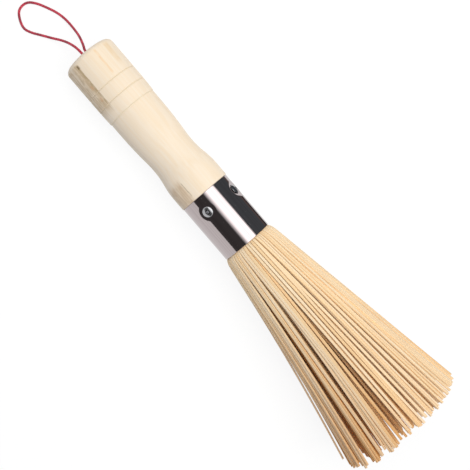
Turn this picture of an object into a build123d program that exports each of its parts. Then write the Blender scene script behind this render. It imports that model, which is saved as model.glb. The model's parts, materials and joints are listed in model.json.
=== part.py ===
from build123d import *
import math
import os

# Palm brush lying at rest on a flat surface: a turned wooden handle, a riveted metal
# ferrule, and a bundle of split bamboo strips spread by a wedge. Millimetres and degrees.
# Each piece is drawn with the brush's axis along X and the butt face at X 0. Then the
# whole brush is tipped onto its butt edge and strip tips, as it lies on a table.

# Handle, turned from one piece of wood
handle_length = 97.0
butt_radius = 15.2
butt_rounding = 3.0
first_ring = 20.5
ring_pitch = 8.35
ring_count = 3
ring_width = 0.7
ring_depth = 0.45
last_band_drop = 0.3
ring_step = 0.3
waist_place = 69.5
waist_radius = 13.4
collar_place = 88.0
collar_radius = 15.25
# Share of the way to the waist, or on to the collar, and share of the radius changed there
fall_shares = ((0.45, 0.12), (0.72, 0.5))
rise_shares = ((0.39, 0.20), (0.71, 0.74))

# Ferrule, a thin drawn tube
ferrule_radius = 15.0
ferrule_length = 35.5
ferrule_wall = 0.5
seat_depth = 0.3
seat_radius = 3.2
dent_radius = 4.4

# Blind rivets through the ferrule into the handle
rivet_inset = 9.2
rivet_count = 4
rivet_turn = 23.0
rivet_head_radius = 2.9
rivet_head_height = 0.95
rivet_dome_share = 0.7
rivet_shank_radius = 1.6
rivet_length = 8.6
mandrel_radius = 0.85
mandrel_head_radius = 1.5
mandrel_head_length = 0.9
mandrel_stub = 0.15

# Cord, its blind hole in the butt, and the glue that holds its two ends
cord_radius = 0.7
cord_spacing = 2.1
cord_hole_radius = 2.4
cord_hole_depth = 16.0
cord_hole_flare = 1.0
tail_inset = 2.4
tail_length = 11.5
cord_glue_length = 8.0

# Strips of split bamboo in rings, and what holds them
tenon_length = 17.0
tenon_rounding = 0.8
strip_glue_length = 0.9
strip_head_length = 6.0
strip_width = 1.28
strip_thickness = 1.1
strip_gap = 0.1
ring_thickness = 1.2
ring_spacing = 1.3
ring_sectors = (4, 4, 3, 3, 2, 2, 1, 1)
sector_gap = 0.15
strip_reach = 130.0
mouth_margin = 0.25
bulge_reach = 4.0
bulge_radius = 16.2
middle_reach = 60.0
middle_radius = 25.2
tip_radius = 37.5
tip_unevenness = 4.0
long_side = 3.0
floor_flat = 1.0
# Shares of the tip radius by which tips sway, and of what a tip moves that its middle moves
sway_share = 0.02
middle_share = 0.5
# Partings in the bundle: degrees from straight up towards Y, and how far they open at the tips
tip_partings = (
    (-172, 1.8), (-141, 2.0), (-111, 1.6), (-87, 1.2), (-69, 1.2), (-57, 1.2), (-50, 1.2),
    (-39, 2.4), (-33, 1.2), (-21, 1.6), (-9, 2.6), (-3, 1.0), (3, 1.8), (15, 1.4), (26, 2.0),
    (39, 1.6), (51, 1.2), (75, 1.2), (101, 1.6), (129, 2.0), (157, 1.6),
)
# A parting that opens half way and closes again
middle_partings = ((-28, 2.8),)
parting_fade = 9

# Wedge driven into the middle of the bundle
wedge_radius = 3.9
wedge_taper = 0.5
wedge_overhang = 5.0
wedge_rounding = 1.0

# Fits
slip = 0.1
snug = 0.05
overrun = 1.0
pad_share = 0.5

# Route of the free loop of cord: X and Y from the middle of the hole's mouth,
# and height above the table. It leaves the hole, droops, lies flat and comes back.
cord_route = (
    (1.0, 1.05, 15.04),
    (-2.5, 0.3, 14.74),
    (-5.6, 1.9, 13.5),
    (-10.8, 3.4, 9.9),
    (-14.9, 3.8, 6.3),
    (-20.0, 4.0, 3.1),
    (-25.2, 3.7, 1.3),
    (-30.4, 2.4, 0.75),
    (-35.8, -0.1, 0.75),
    (-40.5, -2.5, 0.75),
    (-44.6, -6.3, 0.75),
    (-44.4, -12.0, 0.75),
    (-40.6, -15.1, 0.75),
    (-34.9, -17.2, 0.75),
    (-30.4, -15.3, 0.75),
    (-25.6, -11.8, 1.3),
    (-20.7, -8.6, 3.1),
    (-15.8, -5.1, 6.3),
    (-11.3, -3.0, 9.9),
    (-6.8, -1.8, 13.1),
    (-2.5, -1.6, 14.74),
    (1.0, -1.05, 15.04),
)
bend_share = 0.45

# Places along the axis that several pieces share
ferrule_start = handle_length
ferrule_end = ferrule_start + ferrule_length
ferrule_bore = ferrule_radius - ferrule_wall
packed_radius = ferrule_bore - slip
tenon_end = ferrule_start + tenon_length
strip_start = tenon_end + slip + strip_glue_length + slip
rivet_place = ferrule_start + rivet_inset
seat_height = ferrule_radius - seat_depth
rivet_angles = [rivet_turn + i * 360 / rivet_count for i in range(rivet_count)]

# How far the axis tips up, so that butt edge and strip tips both meet the table
tip_place = ferrule_end + math.sqrt(strip_reach**2 - (tip_radius - packed_radius) ** 2) - tip_unevenness / 2
run = tip_place - butt_rounding
climb = tip_radius - butt_radius + butt_rounding
lean = math.atan2(climb, run) - math.asin((butt_rounding + floor_flat) / math.hypot(climb, run))
butt_height = (
    (butt_radius - butt_rounding) * math.cos(lean) + butt_rounding - butt_rounding * math.sin(lean)
)
lay = Pos(0, 0, butt_height) * Rot(0, -math.degrees(lean), 0)


def turned(*outline):
    """A solid turned about the brush's axis from a closed outline of (place, radius) points."""
    return revolve(make_face(Polyline(*outline, close=True)), Axis.X)


def rod(start, end, radius, y=0.0):
    """A round rod along the axis."""
    section = Plane((start, y, 0), x_dir=(0, 1, 0), z_dir=(1, 0, 0)) * Circle(radius)
    return extrude(section, end - start)


def at_rivets(shape):
    """Copies of a shape drawn about Z, one at each rivet, pointing out of the ferrule."""
    return [Rot(angle - 90, 0, 0) * Pos(rivet_place, 0, 0) * shape for angle in rivet_angles]


def spun(*outline):
    """A solid turned about Z from a closed outline of (radius, height) points."""
    return revolve(make_face(Plane.XZ * Polyline(*outline, close=True)), Axis.Z)


def dent(inset, top):
    """The dished space that a rivet pulls into the ferrule, inset from its outer face."""
    floor = seat_height - inset
    rim = floor + seat_depth
    return spun(
        (0, floor), (seat_radius, floor), (dent_radius, rim), (dent_radius, top), (0, top)
    )


def handle():
    """One turned piece: butt, three scored rings, waist, collar and a tenon."""
    last_ring = first_ring + (ring_count - 1) * ring_pitch
    before_last = last_ring - ring_pitch
    last_band_radius = butt_radius - last_band_drop
    grip_start = last_ring + ring_width / 2
    grip_radius = last_band_radius - ring_step
    tenon_radius = ferrule_bore - slip
    butt = RadiusArc(
        (0, butt_radius - butt_rounding), (butt_rounding, butt_radius), butt_rounding
    )
    fall = waist_place - grip_start
    rise = collar_place - waist_place
    grip = [(grip_start, grip_radius)]
    grip += [
        (grip_start + along * fall, grip_radius - part * (grip_radius - waist_radius))
        for along, part in fall_shares
    ]
    grip += [(waist_place, waist_radius)]
    grip += [
        (waist_place + along * rise, waist_radius + part * (collar_radius - waist_radius))
        for along, part in rise_shares
    ]
    grip += [(collar_place, collar_radius)]
    outline = (
        butt
        + Polyline(
            (butt_rounding, butt_radius),
            (before_last, butt_radius),
            (grip_start - ring_width / 2, last_band_radius),
            (grip_start, grip_radius),
        )
        + Spline(*grip, tangents=[(1, 0), (1, 0)])
        + Polyline(
            (collar_place, collar_radius),
            (ferrule_start, collar_radius),
            (ferrule_start, tenon_radius),
            (tenon_end - tenon_rounding, tenon_radius),
            (tenon_end, tenon_radius - tenon_rounding),
            (tenon_end, 0),
            (0, 0),
            (0, butt_radius - butt_rounding),
        )
    )
    body = revolve(make_face(outline), Axis.X)
    for number in range(ring_count):
        place = first_ring + number * ring_pitch
        radius = butt_radius if number < ring_count - 1 else last_band_radius
        body -= turned(
            (place - ring_width / 2, radius + overrun),
            (place - ring_width / 2, radius),
            (place, radius - ring_depth),
            (place + ring_width / 2, radius),
            (place + ring_width / 2, radius + overrun),
        )
    body -= turned(
        (-overrun, 0),
        (-overrun, cord_hole_radius + cord_hole_flare + overrun),
        (cord_hole_flare, cord_hole_radius),
        (cord_hole_depth, cord_hole_radius),
        (cord_hole_depth, 0),
    )
    hole_floor = seat_height - rivet_length - mandrel_head_length - slip
    hole = Pos(0, 0, hole_floor) * Cylinder(
        rivet_shank_radius + snug,
        ferrule_radius,
        align=(Align.CENTER, Align.CENTER, Align.MIN),
    )
    clear_dent = dent(ferrule_wall + slip, ferrule_radius + overrun)
    for cut in at_rivets(hole + clear_dent):
        body -= cut
    return body


def ferrule():
    """A tube pressed in round each rivet, so that every head has a flat seat."""
    tube = rod(ferrule_start, ferrule_end, ferrule_radius)
    tube -= rod(ferrule_start - overrun, ferrule_end + overrun, ferrule_bore)
    within_wall = Pos(-rivet_place, 0, 0) * rod(
        ferrule_start, ferrule_end, ferrule_radius - pad_share * ferrule_wall
    )
    pads = at_rivets(dent(ferrule_wall, ferrule_radius + overrun) & within_wall)
    dents = at_rivets(dent(0, ferrule_radius + overrun))
    holes = at_rivets(
        Pos(0, 0, seat_height) * Cylinder(rivet_shank_radius + snug, 2 * ferrule_wall + overrun)
    )
    for pad in pads:
        tube += pad
    for cut in dents + holes:
        tube -= cut
    return tube


def rivet_bodies():
    """Domed heads and hollow shanks."""
    top = seat_height + rivet_head_height
    bottom = seat_height - rivet_length
    bore = mandrel_radius + snug
    dome = ThreePointArc(
        (rivet_head_radius, seat_height + snug),
        (rivet_dome_share * rivet_head_radius, seat_height + rivet_dome_share * rivet_head_height),
        (bore, top),
    )
    outline = dome + Polyline(
        (bore, top),
        (bore, bottom),
        (rivet_shank_radius, bottom),
        (rivet_shank_radius, seat_height),
        (rivet_head_radius, seat_height),
        (rivet_head_radius, seat_height + snug),
    )
    return at_rivets(revolve(make_face(Plane.XZ * outline), Axis.Z))


def rivet_mandrels():
    """The broken-off pins inside the rivets, headed at the blind end."""
    bottom = seat_height - rivet_length - snug
    top = seat_height + rivet_head_height + mandrel_stub
    return at_rivets(
        spun(
            (0, bottom - mandrel_head_length),
            (mandrel_head_radius, bottom - mandrel_head_length),
            (mandrel_head_radius, bottom),
            (mandrel_radius, bottom),
            (mandrel_radius, top),
            (0, top),
        )
    )


def cord_tails():
    """The two ends of the cord inside the handle."""
    start = tail_inset
    return [
        rod(start, start + tail_length, cord_radius, side * cord_spacing / 2)
        for side in (1, -1)
    ]


def cord_glue():
    """The plug of glue at the bottom of the cord's hole, with the cord's ends in it."""
    end = cord_hole_depth - snug
    plug = rod(end - cord_glue_length, end, cord_hole_radius - snug)
    tail_end = tail_inset + tail_length + snug
    for side in (1, -1):
        plug -= rod(
            end - cord_glue_length - overrun, tail_end, cord_radius + snug, side * cord_spacing / 2
        )
    return plug


def strip_glue():
    """The bed of glue between the handle's tenon and the heads of the strips."""
    return rod(tenon_end + slip, tenon_end + slip + strip_glue_length, packed_radius)


def centre_wedge():
    """The tapered wooden peg that spreads the bundle and jams it in the ferrule."""
    end = ferrule_end + wedge_overhang
    return turned(
        (strip_start, 0),
        (strip_start, wedge_radius - wedge_taper),
        (ferrule_end, wedge_radius),
        (end - wedge_rounding, wedge_radius),
        (end, wedge_radius - wedge_rounding),
        (end, 0),
    )


def strips_in_sector(ring):
    """How many strips fit side by side at their inner faces, shared evenly by the ring's sectors."""
    inner = packed_radius - ring * ring_spacing - (ring_thickness + strip_thickness) / 2
    return int(2 * math.pi * inner / (strip_width + strip_gap)) // ring_sectors[ring]


def pushed(turn, partings):
    """How far partings push a strip round the axis. Each moves it by half a gap, or less if far off."""
    push = 0
    for degrees, gap in partings:
        off = (turn - math.radians(90 - degrees) + math.pi) % (2 * math.pi) - math.pi
        fade = math.exp(-abs(off) / math.radians(parting_fade))
        push += math.copysign(gap / 2 / tip_radius * fade, off)
    return push


def strip_path(ring, turn, seed):
    """Sections of one strip: place, distance from the axis and angle, from its head to its tip.

    The outermost ring flares to the full radii, and a strip beside the wedge stays nearly straight.
    """
    outermost = packed_radius - ring_thickness / 2
    packed = outermost - ring * ring_spacing
    spread = (packed - wedge_radius) / (outermost - wedge_radius)
    bulge, middle, tip = [
        packed + (radius - strip_thickness / 2 - outermost) * spread
        for radius in (bulge_radius, middle_radius, tip_radius * (1 - sway_share))
    ]
    reach = math.sqrt(strip_reach**2 - (tip - packed) ** 2)
    reach -= tip_unevenness * (0.5 + 0.5 * math.sin(seed * seed))
    reach += long_side * max(0, -math.cos(turn))
    tip_push = spread * pushed(turn, tip_partings)
    middle_push = middle_share * tip_push + spread * pushed(turn, middle_partings)
    sway = sway_share * tip_radius * math.sin(2 * seed)
    tip_distance = tip + sway
    # The table holds up the lowest tips
    down = -math.sin(turn + tip_push)
    if down > 0:
        table = (butt_height + (ferrule_end + reach) * math.sin(lean)) / math.cos(lean)
        tip_distance = min(tip_distance, (table - strip_thickness / 2) / down)
    return (
        (strip_start + strip_head_length / 2, packed, turn),
        (ferrule_end + mouth_margin, packed, turn),
        (ferrule_end + bulge_reach, bulge, turn),
        (ferrule_end + middle_reach, middle + middle_share * sway, turn + middle_push),
        (ferrule_end + reach, tip_distance, turn + tip_push),
    )


def strip(ring, turn, seed):
    """One strip of four sides, lofted through lines, with its faces parallel all along."""
    tangent = (0, -math.sin(turn), math.cos(turn))
    sections = [
        Wire.make_rect(
            strip_width,
            strip_thickness,
            Plane(
                (place, distance * math.cos(angle), distance * math.sin(angle)),
                x_dir=tangent,
                z_dir=(1, 0, 0),
            ),
        )
        for place, distance, angle in strip_path(ring, turn, seed)
    ]
    return Solid.make_loft(sections, ruled=True)


def strip_sector(ring, sector):
    """A sector of one ring of strips, fused to the glued mass of their heads."""
    outer = packed_radius - ring * ring_spacing
    middle = outer - ring_thickness / 2
    sectors = ring_sectors[ring]
    in_sector = strips_in_sector(ring)
    arc = 360 / sectors
    gap = math.degrees(sector_gap / middle) if sectors > 1 else 0
    first = arc * (sector - 0.5) + 90
    head = make_face(
        Polyline(
            (strip_start, outer - ring_thickness),
            (strip_start, outer),
            (strip_start + strip_head_length, outer),
            (strip_start + strip_head_length, outer - ring_thickness),
            close=True,
        )
    )
    heads = Rot(first + gap / 2, 0, 0) * revolve(head, Axis.X, arc - gap)
    strips = []
    for number in range(in_sector):
        turn = math.radians(first + arc * (number + 0.5) / in_sector)
        strips.append(strip(ring, turn, (sector + ring) * in_sector + number))
    return heads.fuse(*strips)


def hanging_loop(mouth):
    """The free loop of cord, as straight runs joined by tangent arcs."""
    points = [Vector(mouth.X + x, mouth.Y + y, z) for x, y, z in cord_route]
    radii = []
    for before, point, after in zip(points, points[1:], points[2:]):
        into = point - before
        out = after - point
        half_turn = math.radians(into.get_angle(out)) / 2
        radii.append(bend_share * min(into.length, out.length) / math.tan(half_turn))
    path = FilletPolyline(*points, radius=radii)
    start = Plane(path @ 0, z_dir=path % 0)
    tube = sweep(start * Circle(cord_radius), path)
    print("cord runs", [round((b - a).length, 1) for a, b in zip(points, points[1:])])
    print("cord radii", [round(radius, 1) for radius in radii])
    print("cord length", round(path.length, 1))
    print("cord volume", round(tube.volume, 2), "of", round(math.pi * cord_radius**2 * path.length, 2))
    return tube


pieces = {
    "handle": [handle()],
    "ferrule": [ferrule()],
    "rivet_bodies": rivet_bodies(),
    "rivet_mandrels": rivet_mandrels(),
    "cord_tails": cord_tails(),
    "cord_glue": [cord_glue()],
    "strip_glue": [strip_glue()],
    "centre_wedge": [centre_wedge()],
}
for ring, sectors in enumerate(ring_sectors):
    for sector in range(sectors):
        name = f"strip_ring_{ring + 1}" + (f"_{'abcd'[sector]}" if sectors > 1 else "")
        pieces[name] = [strip_sector(ring, sector)]

# Lay the brush down, trim corners that dip below the table, and centre it
above_table = Pos(0, 0, strip_reach) * Box(
    4 * strip_reach + 2 * handle_length, 4 * strip_reach, 2 * strip_reach
)
laid = {}
for name, solids in pieces.items():
    placed = [lay * solid for solid in solids]
    if name.startswith("strip_ring") and min(s.bounding_box().min.Z for s in placed) < 0:
        placed = [solid & above_table for solid in placed]
    laid[name] = placed
boxes = [solid.bounding_box() for solids in laid.values() for solid in solids]
middle_x = (min(box.min.X for box in boxes) + max(box.max.X for box in boxes)) / 2
middle_y = (min(box.min.Y for box in boxes) + max(box.max.Y for box in boxes)) / 2
centre = Pos(-middle_x, -middle_y, 0)
mouth = Vector(-middle_x, -middle_y, butt_height)

os.makedirs("parts", exist_ok=True)
for name, solids in laid.items():
    kept = [solid for placed in solids for solid in (centre * placed).solids()]
    export_step(kept[0] if len(kept) == 1 else Compound(kept), f"parts/{name}.step")
loop = hanging_loop(mouth)
export_step(loop.solids()[0], "parts/hanging_loop.step")
print("tilt", round(math.degrees(lean), 3), "mouth", mouth)
print("strips", sum(strips_in_sector(ring) * n for ring, n in enumerate(ring_sectors)))
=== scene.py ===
"""Finishes the palm brush: turned wooden handle, riveted steel ferrule, split bamboo strips, red cord.

All lengths are metres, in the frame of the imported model. A point of the brush is worked out along the
brush's own directions, which are along its axis from the middle of the butt face, to its side and up,
and is then laid down with the brush. An angle round the axis is 0 straight up and grows to the side.
"""

import json
import math

import bpy
import numpy as np
from bpy.props import FloatProperty, FloatVectorProperty, IntProperty, PointerProperty
from bpy.types import Operator, Panel, PropertyGroup
from mathutils import Matrix


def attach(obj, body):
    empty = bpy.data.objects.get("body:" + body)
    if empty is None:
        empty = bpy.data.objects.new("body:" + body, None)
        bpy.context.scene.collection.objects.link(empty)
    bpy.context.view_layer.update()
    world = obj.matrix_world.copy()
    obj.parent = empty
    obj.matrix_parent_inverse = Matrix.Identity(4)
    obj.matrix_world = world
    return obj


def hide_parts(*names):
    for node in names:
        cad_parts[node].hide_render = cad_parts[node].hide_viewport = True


bl_info = {
    "name": "Palm Brush",
    "version": (1, 0, 0),
    "blender": (4, 5, 0),
    "location": "3D View > Sidebar > Palm Brush",
    "description": "Builds the finished surfaces of a palm brush around its packed model",
    "category": "Object",
}

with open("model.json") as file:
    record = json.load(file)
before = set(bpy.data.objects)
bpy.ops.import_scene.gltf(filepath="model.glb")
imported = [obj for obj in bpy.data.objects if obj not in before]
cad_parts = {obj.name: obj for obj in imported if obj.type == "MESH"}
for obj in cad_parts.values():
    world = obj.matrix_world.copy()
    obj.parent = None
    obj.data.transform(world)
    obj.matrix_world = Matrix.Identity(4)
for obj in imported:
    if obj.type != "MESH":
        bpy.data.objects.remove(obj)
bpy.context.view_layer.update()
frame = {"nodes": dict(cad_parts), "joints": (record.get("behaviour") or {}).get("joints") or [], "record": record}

MM = 0.001
TURN = 2 * math.pi

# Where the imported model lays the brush: the cord's mouth, and the way along, to the side and up
mounts = {mount["name"]: mount for mount in frame["record"]["mounts"]}
joints = {joint["name"]: joint for joint in frame["joints"]}
mouth = np.array(joints["loop_swing"]["pos_m"])
along = -np.array(mounts["grip_band"]["axis"]) / np.linalg.norm(mounts["grip_band"]["axis"])
aside = np.array((0.0, 1.0, 0.0))
upward = np.cross(along, aside)
tilt = math.atan2(along[2], along[0])


def laid(points):
    """Points given along, to the side and up, moved to where the brush lies."""
    return mouth + np.asarray(points) @ np.array((along, aside, upward))


# Sizes and colours that a user would change


def linear(hex_colour):
    """A colour written as sRGB hex, as the linear values that Blender works in."""
    shares = [int(hex_colour[i : i + 2], 16) / 255 for i in (1, 3, 5)]
    return [s / 12.92 if s <= 0.04045 else ((s + 0.055) / 1.055) ** 2.4 for s in shares]


def length(name, description, millimetres):
    """A length property whose default is given in millimetres."""
    return FloatProperty(
        name=name, description=description, default=millimetres * MM, unit="LENGTH", precision=5
    )


def share(name, description, default):
    """A share property, from 0 to 1."""
    return FloatProperty(
        name=name, description=description, default=default, min=0, max=1, subtype="FACTOR"
    )


def plain(name, description, default):
    """A property that is a plain number."""
    return FloatProperty(name=name, description=description, default=default)


def angled(name, description, degrees):
    """An angle property whose default is given in degrees."""
    default = math.radians(degrees)
    return FloatProperty(name=name, description=description, default=default, subtype="ANGLE")


def colour(name, description, hex_colour):
    """A colour property whose default is given as sRGB hex."""
    return FloatVectorProperty(
        name=name, description=description, default=linear(hex_colour), subtype="COLOR", size=3
    )


class HandleSizes(PropertyGroup):
    """The turned handle."""

    length: length("Length", "From the butt face to the ferrule", 97.0)
    butt_radius: length("Butt radius", "Radius of the grip at the butt", 15.2)
    butt_rounding: length("Butt rounding", "Radius of the butt's rounded edge", 3.0)
    first_ring: length("First ring", "Butt face to the first scored ring", 20.5)
    ring_pitch: length("Ring pitch", "From one scored ring to the next", 8.35)
    ring_count: IntProperty(name="Rings", description="Number of scored rings", default=3, min=1)
    ring_width: length("Ring width", "Width of a scored ring", 0.62)
    ring_depth: length("Ring depth", "Depth of a scored ring", 0.4)
    band_drop: length("Band drop", "How much the last band is thinner than the butt", 0.3)
    ring_step: length("Ring step", "How much the grip is thinner past the last ring", 0.3)
    waist_place: length("Waist place", "Butt face to the waist", 69.5)
    waist_radius: length("Waist radius", "Radius at the waist", 13.4)
    collar_place: length("Collar place", "Butt face to the collar", 88.0)
    collar_radius: length("Collar radius", "Radius of the collar at the ferrule", 15.25)
    tenon_length: length("Tenon length", "How far the handle reaches into the ferrule", 17.0)
    hole_radius: length("Hole radius", "Radius of the cord's hole", 2.4)
    hole_depth: length("Hole depth", "Depth of the cord's hole", 16.0)
    hole_flare: length("Hole flare", "Width of the flare at the hole's mouth", 1.0)
    clear_wood: colour("Clear wood", "Sanded pale wood", "#FCECD6")
    warm_wood: colour("Warm wood", "Warmer streaks in the wood", "#FAE6CA")
    # Painted shade: the colour in the scored rings stands in for the shade in the grooves
    groove_shade: colour("Cut wood", "Wood in the scored rings", "#EADABF")


class FerruleSizes(PropertyGroup):
    """The ferrule and its rivets."""

    length: length("Length", "Length of the ferrule", 35.5)
    radius: length("Radius", "Outer radius of the ferrule", 15.0)
    wall: length("Wall", "Thickness of the sheet", 0.5)
    seat_depth: length("Seat depth", "How far a rivet pulls the sheet in", 0.42)
    seat_radius: length("Seat radius", "Radius of the flat under a rivet head", 3.2)
    dent_radius: length("Dent radius", "Radius at which the dent fades out", 5.0)
    rivet_inset: length("Rivet inset", "Ferrule's handle edge to the rivets", 9.2)
    rivet_count: IntProperty(name="Rivets", description="Number of rivets", default=4, min=1)
    rivet_turn: angled("Rivet turn", "Angle of the first rivet from straight up", 67.0)
    head_radius: length("Head radius", "Radius of a rivet head", 2.9)
    head_height: length("Head height", "Height of a rivet head", 0.95)
    dome_slope: angled("Dome slope", "Slope of a rivet head's dome at its rim", 32.0)
    shank_radius: length("Shank radius", "Radius of a rivet's shank", 1.6)
    shank_length: length("Shank length", "How far a rivet reaches in", 8.6)
    mandrel_radius: length("Mandrel radius", "Radius of the broken-off pin", 0.85)
    steel: colour("Steel", "Reflection of polished stainless steel", "#B9AFAF")
    drawn: colour("Draw lines", "Reflection along the finest draw lines", "#A89D9D")
    aluminium: colour("Aluminium", "Reflection of the rivet heads", "#ABABAD")


class StripSizes(PropertyGroup):
    """The split bamboo strips."""

    width: length("Width", "Mean width of a strip", 1.34)
    gap: length("Gap", "Gap between strips in the ferrule", 0.04)
    thickness: length("Thickness", "Mean thickness of a strip", 1.1)
    ring_spacing: length("Ring spacing", "From one ring of strips to the next", 1.3)
    head_length: length("Head length", "How far the strips reach into the ferrule", 17.3)
    reach: length("Reach", "Length of the strips past the ferrule", 130.8)
    unevenness: length("Unevenness", "Difference between long and short tips", 4.0)
    evenness: share("Evenness", "How much evener the tips of the bright side are", 0.65)
    long_side: length("Long side", "How much longer the strips of one side are", 3.0)
    core_radius: length("Core radius", "Radius of the wedge in the middle", 3.9)
    clearance: length("Clearance", "Between the outermost strips and the ferrule", 0.15)
    bevel: length("Bevel", "How much of a strip's outer corners is cut off", 0.16)
    lip: length("Lip", "How far the strips bulge over the ferrule's edge", 1.5)
    lip_length: length("Lip length", "Distance in which they bulge", 1.5)
    lean: share("Lean", "Slope at which the outermost strips spread", 0.15)
    bow: plain("Bow", "Extra slope per metre towards the tips", 0.335)
    fullness: plain("Fullness", "How full the middle rings spread", 1.7)
    second_low: plain("Second ring low", "Second ring's share of the flare in a parting", 0.95)
    second_high: plain("Second ring high", "Second ring's share between outer clumps", 1.03)
    warp: length("Warp", "How far the whole bundle has warped to the side", 1.0)
    sway: length("Sway", "How far tips stray inwards", 0.8)
    stray: length("Stray", "How far tips stray sideways", 0.5)
    gather: share("Gather", "How tightly strips hold together in clumps", 0.68)
    table_gap: length("Table gap", "Between the lowest strips and the table", 0.02)
    outer_push: share("Outer push", "How much of a parting's push the two outer rings take", 0.35)
    parting_fade: angled("Parting fade", "Angle over which a parting's push fades", 9.0)
    # Painted shade: inner rings are coloured darker, standing in for the shade deep in the bundle
    inner_ring_shade: share("Inner tone", "How much darker each ring is than the one outside it", 0.05)
    # Painted light and shade: strips on the shaded side are coloured darker, and on the bright side paler
    side_shading: share("Side tone", "How much darker strips on the shaded side are", 0.16)
    tip_browning: share("Tip browning", "How much of the tan the tips take on", 0.6)
    browned: share("Browned", "Share of the reach over which strips turn brown", 0.75)
    # Painted shade: over this distance to either side, the tips' browning grows from the bright side to the shaded
    # side
    shade_ramp_side: length("Clean side", "Distance aside at which strips are clean, or else weathered", 25.0)
    cream: colour("Cream", "Lightest strips", "#FEEACB")
    straw: colour("Straw", "Ordinary strips", "#FCDDAF")
    tan: colour("Tan", "Darkest strips", "#D89A54")


class CordSizes(PropertyGroup):
    """The hanging cord."""

    diameter: length("Diameter", "Diameter of the cord", 1.4)
    free_length: length("Free length", "Length of the free loop", 112.4)
    relief: length("Relief", "Height of the braid's yarns", 0.07)
    yarn_pitch: length("Yarn pitch", "Length in which the braid repeats", 1.6)
    # Painted light and shade: crimson is painted on the yarns' crowns as if lit, and the shadow colour in the
    # hollows between them
    crimson: colour("Crimson", "Crown of the yarns", "#E0475A")
    shadow: colour("Shadow", "Between the yarns", "#A82A3E")
    # Painted shade: the colour of darker stretches along the cord, standing in for shading
    stretch_shade: colour("Soiled", "Stretches of the cord that were handled", "#852C3B")


class StageSizes(PropertyGroup):
    """Camera, lamps and floor."""

    camera_reach: length("Camera reach", "Camera from the mouth, along the level", 57.9)
    camera_shift: length("Camera shift", "Camera from the mouth, to the side", -2.6)
    camera_height: length("Camera height", "Camera above the mouth", 552.0)
    lit_place: length("Lit place", "From the butt face to where the lamps point", 115.0)
    camera_lean: angled("Camera lean", "How far the view leans from straight down", 7.06)
    camera_roll: angled("Camera roll", "Slope of the brush in the picture", 49.41)
    focal_length: FloatProperty(
        name="Focal length", description="Lens of the camera", default=76.8, unit="CAMERA"
    )
    sensor_width: FloatProperty(
        name="Sensor width", description="Width of the camera's sensor", default=36.0, unit="CAMERA"
    )
    key_share: share("Key", "Share of the light from the softbox", 0.85)
    side_share: share("Side", "Share of the light from the side", 0.07)
    fill_share: share("Fill", "Share of the light from all round", 0.42)
    warm_light: colour("Warm light", "Colour of the softbox", "#FFFAEE")
    cool_light: colour("Cool light", "Colour of the light from all round", "#E2ECFF")


# Surfaces


def quads(rows, columns, close_rows=False):
    """Faces of a grid of points whose columns close into rings, as four corner numbers each."""
    row = np.arange(rows if close_rows else rows - 1)[:, None]
    column = np.arange(columns)[None, :]
    after = (column + 1) % columns
    low, high = row * columns, (row + 1) % rows * columns
    return np.stack((low + column, low + after, high + after, high + column), -1).reshape(-1, 4)


def ends(rows, columns):
    """The first and last rings of a grid as one flat face each, facing away from the grid."""
    first = np.arange(columns)[::-1]
    last = np.arange(columns) + (rows - 1) * columns
    return [first.tolist(), last.tolist()]


def round_turn(sides):
    """Angles evenly round a turn, from straight up."""
    return np.arange(sides) * TURN / sides


def wrapped(angle):
    """Angles moved by whole turns to lie within half a turn of 0."""
    return (angle + math.pi) % TURN - math.pi


def around(place, radius, angle, side=0.0):
    """Points (place, r sin a + s cos a, r cos a - s sin a): at radius r and angle a, moved s sideways."""
    sine, cosine = np.sin(angle), np.cos(angle)
    across, up = radius * sine + side * cosine, radius * cosine - side * sine
    return np.stack(np.broadcast_arrays(place, across, up), -1)


def spun(outline, sides):
    """A solid of revolution about the axis along, as points and faces.

    Point (row, k) is (place, radius sin a, radius cos a) with a = k / sides of a turn. The outline
    starts and ends on the axis, and both ends are closed by a fan round one point.
    """
    place, radius = np.asarray(outline, float).T
    rings = around(place[1:-1, None], radius[1:-1, None], round_turn(sides))
    poles = [(place[0], 0, 0), (place[-1], 0, 0)]
    points = np.concatenate((rings.reshape(-1, 3), poles))
    count = len(points)
    column = np.arange(sides)
    after = (column + 1) % sides
    last = (len(place) - 3) * sides
    first_fan = np.stack((after, column, np.full(sides, count - 2)), -1)
    last_fan = np.stack((last + column, last + after, np.full(sides, count - 1)), -1)
    faces = quads(len(place) - 2, sides).tolist() + first_fan.tolist() + last_fan.tolist()
    return points, faces


def eased(places, values, at):
    """A curve through points: cubic Hermite, its slopes central differences, level at both ends."""
    places, values = np.asarray(places, float), np.asarray(values, float)
    slopes = np.gradient(values, places)
    slopes[[0, -1]] = 0
    i = np.clip(np.searchsorted(places, at) - 1, 0, len(places) - 2)
    span = places[i + 1] - places[i]
    t = (at - places[i]) / span
    return (
        values[i] * (1 + 2 * t) * (1 - t) ** 2
        + values[i + 1] * t**2 * (3 - 2 * t)
        + span * (slopes[i] * t * (1 - t) ** 2 - slopes[i + 1] * t**2 * (1 - t))
    )


def arc(centre, radius, start, end, steps):
    """Points (place, radius) on an arc about a centre, from one angle in degrees to another."""
    angle = np.radians(np.linspace(start, end, steps))
    return np.stack((centre[0] + radius * np.cos(angle), centre[1] + radius * np.sin(angle)), -1)


def volume(points, faces):
    """Signed volume of a closed surface: each face's fan of corners with the origin, summed."""
    total = 0.0
    for size in {len(face) for face in faces}:
        corners = points[np.array([face for face in faces if len(face) == size])]
        first = corners[:, :1]
        total += np.einsum(
            "fkc,fkc->", np.broadcast_to(first, corners[:, 2:].shape),
            np.cross(corners[:, 1:-1], corners[:, 2:]),
        )
    return total / 6


def new_object(name, data):
    """An object of the scene that shows the data."""
    obj = bpy.data.objects.new(name, data)
    bpy.context.scene.collection.objects.link(obj)
    return obj


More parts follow.
